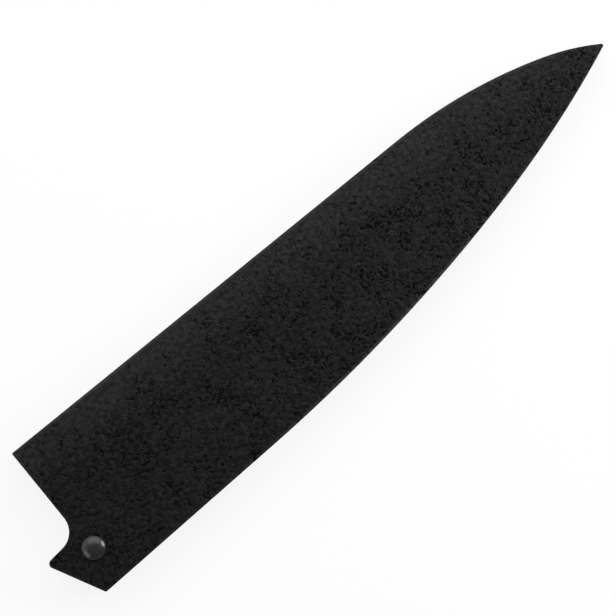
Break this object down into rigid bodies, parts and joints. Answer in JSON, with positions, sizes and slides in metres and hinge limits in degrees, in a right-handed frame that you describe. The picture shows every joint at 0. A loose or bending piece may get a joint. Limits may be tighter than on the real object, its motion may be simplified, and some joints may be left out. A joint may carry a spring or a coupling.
{
  "type": "knife blade guard",
  "caption": "Flat dark wooden sleeve for a chef's knife blade, open at the rear, with a notched tail and a domed locking pin behind the heel.",
  "frame": {"origin": "on the back face, under the middle of the guard's overall length and width", "axes": "+X along the straight spine side towards the tip, +Y towards the spine side, +Z out of the front face, the side with the pin's head"},
  "size_m": [0.2372, 0.0522, 0.011],
  "materials": {
    "lacquered_wood": "dark stone-like textured lacquer, matt to satin",
    "pin_plastic": "glossy, polished dome",
    "ring_rubber": "matt black rubber"
  },
  "bodies": {
    "guard": {"front_panel": "lacquered_wood", "back_panel": "lacquered_wood", "spine_strip": "lacquered_wood", "edge_strip": "lacquered_wood", "tip_block": "lacquered_wood"},
    "pin_ring": {"pin_o_ring": "ring_rubber"},
    "pin": {"locking_pin": "pin_plastic"}
  },
  "joints": [
    {"name": "pin_pull", "type": "slide", "parent": "guard", "child": "pin_ring", "axis": [0, 0, 1], "range_m": [0, 0.012]},
    {"name": "pin_twist", "type": "hinge", "parent": "pin_ring", "child": "pin", "pos_m": [-0.10425, -0.01297, 0.0088], "axis": [0, 0, 1], "continuous": true}
  ]
}
